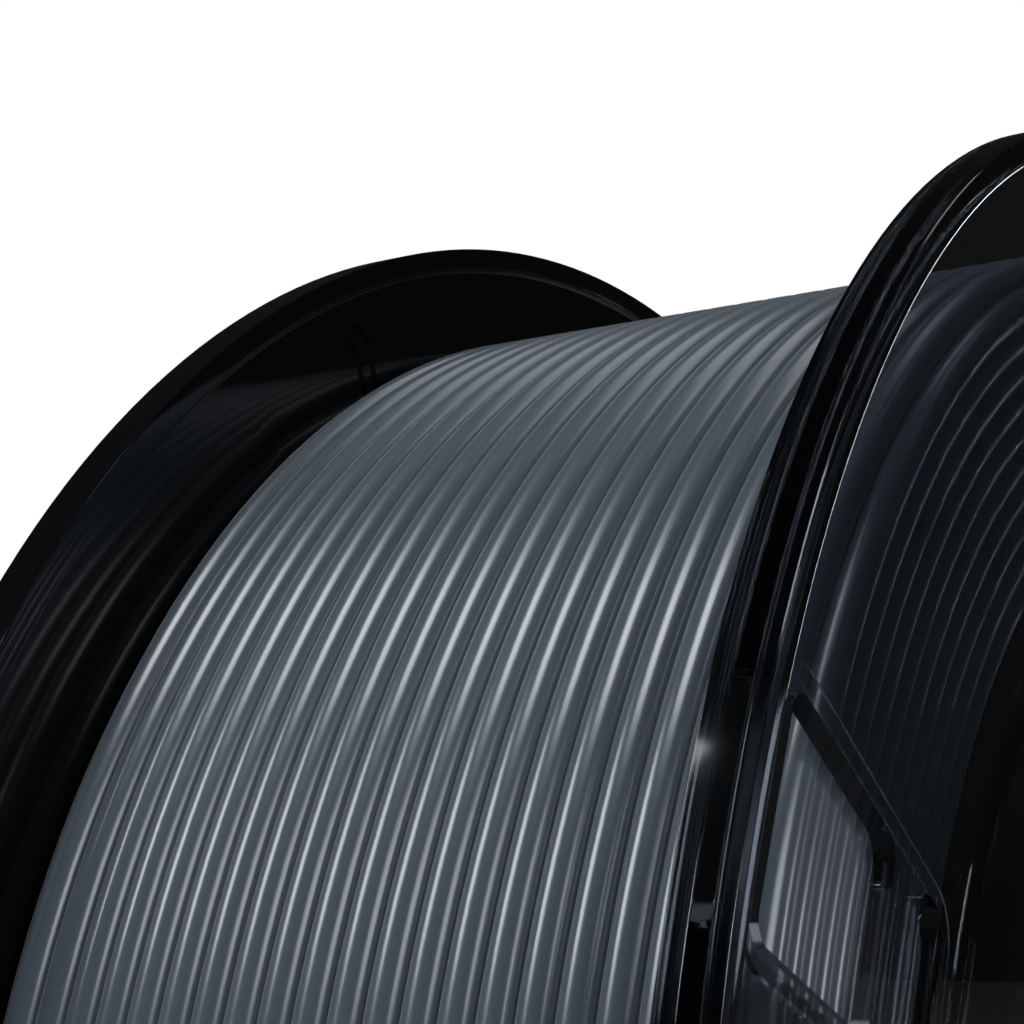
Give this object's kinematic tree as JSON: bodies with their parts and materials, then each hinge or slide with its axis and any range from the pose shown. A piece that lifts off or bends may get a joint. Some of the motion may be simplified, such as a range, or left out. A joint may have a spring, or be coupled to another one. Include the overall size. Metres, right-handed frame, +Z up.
{
  "type": "filament spool",
  "caption": "Moulded spool of thick 3-D printing filament: a black flange, a smoked see-through flange with open sight windows, a snap-in hub tube and neat parallel turns.",
  "frame": {"origin": "the centre of the spool, on its axis and midway between the flanges", "axes": "+Y along the spool's axis, from the smoked flange to the black one; +Z up as the spool stands on its rims; +X across"},
  "size_m": [0.1998, 0.0688, 0.1998],
  "materials": {
    "smoked_plastic": "clear smoked moulding, polished",
    "black_plastic": "opaque black moulding, polished",
    "hub_plastic": "black moulding, satin",
    "filament": "extruded strand, silky steel grey"
  },
  "bodies": {
    "root": {"near_flange": "smoked_plastic", "far_flange": "black_plastic", "drum": "black_plastic", "hub_tube": "hub_plastic", "filament_inner_layers": "filament", "filament_outer_layer": "filament", "filament_start_tail": "filament"}
  },
  "joints": []
}
